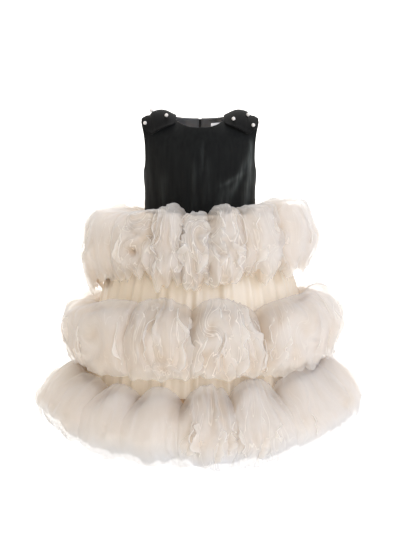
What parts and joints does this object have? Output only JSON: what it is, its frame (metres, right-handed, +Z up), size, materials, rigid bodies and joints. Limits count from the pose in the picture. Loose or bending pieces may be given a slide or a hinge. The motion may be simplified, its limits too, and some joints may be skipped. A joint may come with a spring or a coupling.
{
  "type": "child's sleeveless party dress with tulle ruffles",
  "caption": "Sleeveless velvet bodice over a satin underskirt that carries tiers of puffed tulle ruffles, worn on the shoulders and closed by a back zip.",
  "frame": {"origin": "midway between the two shoulder seams, at the height of the seams' neck ends less 2 mm, where the wearer's shoulders carry the dress", "axes": "+Z up, -Y to the front of the dress, +X to the right as seen from the front"},
  "size_m": [0.6356, 0.5747, 0.6339],
  "materials": {
    "black_velvet": "matt cotton velvet with a faint grey sheen on the folds",
    "bow_velvet": "matt black velvet, nap laid the other way",
    "charcoal_satin": "lining satin, softly glossy",
    "white_tape": "bare woven tape",
    "zip_tape": "woven zip tape with moulded coil",
    "zip_metal": "black enamelled die casting",
    "pearl": "pearl lustre",
    "champagne_satin": "satin, softly glossy",
    "ivory_tulle": "soft translucent net in many layers"
  },
  "bodies": {
    "dress": {"bodice_front": "black_velvet", "bodice_back_left": "black_velvet", "bodice_back_right": "black_velvet", "back_facing_left": "charcoal_satin", "back_facing_right": "charcoal_satin", "neck_label": "white_tape", "zip_chain": "zip_tape", "zip_slider": "zip_metal", "shoulder_bow_left": "bow_velvet", "shoulder_bow_right": "bow_velvet", "pearl_left_top": "pearl", "pearl_left_inner": "pearl", "pearl_left_outer": "pearl", "pearl_right_top": "pearl", "pearl_right_inner": "pearl", "pearl_right_outer": "pearl", "underskirt": "champagne_satin", "tulle_tier_1": "ivory_tulle", "tulle_tier_2": "ivory_tulle", "tulle_tier_3": "ivory_tulle"},
    "pull": {"zip_pull": "zip_metal"}
  },
  "joints": [
    {"name": "zip_pull_swing", "type": "hinge", "parent": "dress", "child": "pull", "pos_m": [0, 0.05872, -0.01608], "axis": [1, 0, 0], "range_deg": [0, 150]}
  ]
}
